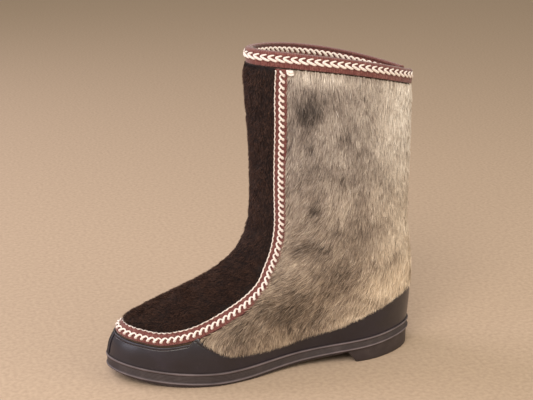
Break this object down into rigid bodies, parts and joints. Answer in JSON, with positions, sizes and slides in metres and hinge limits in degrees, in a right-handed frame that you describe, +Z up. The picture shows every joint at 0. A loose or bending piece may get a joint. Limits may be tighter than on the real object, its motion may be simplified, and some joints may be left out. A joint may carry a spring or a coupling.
{
  "type": "mukluk boot",
  "caption": "Fur mukluk boot, left, with leather rand, moulded sole, chain-patterned ribbon and a back zip.",
  "frame": {"origin": "centre of the bounding box on the floor plane", "axes": "+X to the toe, +Y to the wearer's left, which is the outer side, +Z up"},
  "size_m": [0.2778, 0.0952, 0.2787],
  "materials": {
    "sole_rubber": "moulded, satin",
    "insole_felt": "felt",
    "lining_felt": "felt",
    "rand_leather": "smooth, polished",
    "seal_fur": "short fur, grey-beige with dark spots",
    "dark_fur": "plush fur, very dark brown",
    "ribbon": "woven, cream chain pattern",
    "zip_cloth": "woven tape",
    "zip_metal": "antique, dark"
  },
  "bodies": {
    "boot": {"outsole": "sole_rubber", "insole": "insole_felt", "upper": "lining_felt", "rand": "rand_leather", "toe_seam": "rand_leather", "side_fur_left": "seal_fur", "side_fur_right": "seal_fur", "front_fur": "dark_fur", "vamp_ribbon": "ribbon", "collar_ribbon": "ribbon", "zip_tape_left": "zip_cloth", "zip_tape_right": "zip_cloth", "zip_chain": "zip_metal", "zip_bottom_stop": "zip_metal", "zip_slider": "zip_metal"},
    "zip_pull": {"zip_pull": "zip_metal"}
  },
  "joints": [
    {"name": "zip_pull_swing", "type": "hinge", "parent": "boot", "child": "zip_pull", "pos_m": [-0.13324, 0.00194, 0.2313], "axis": [0, 1, 0], "range_deg": [-2, 160]}
  ]
}
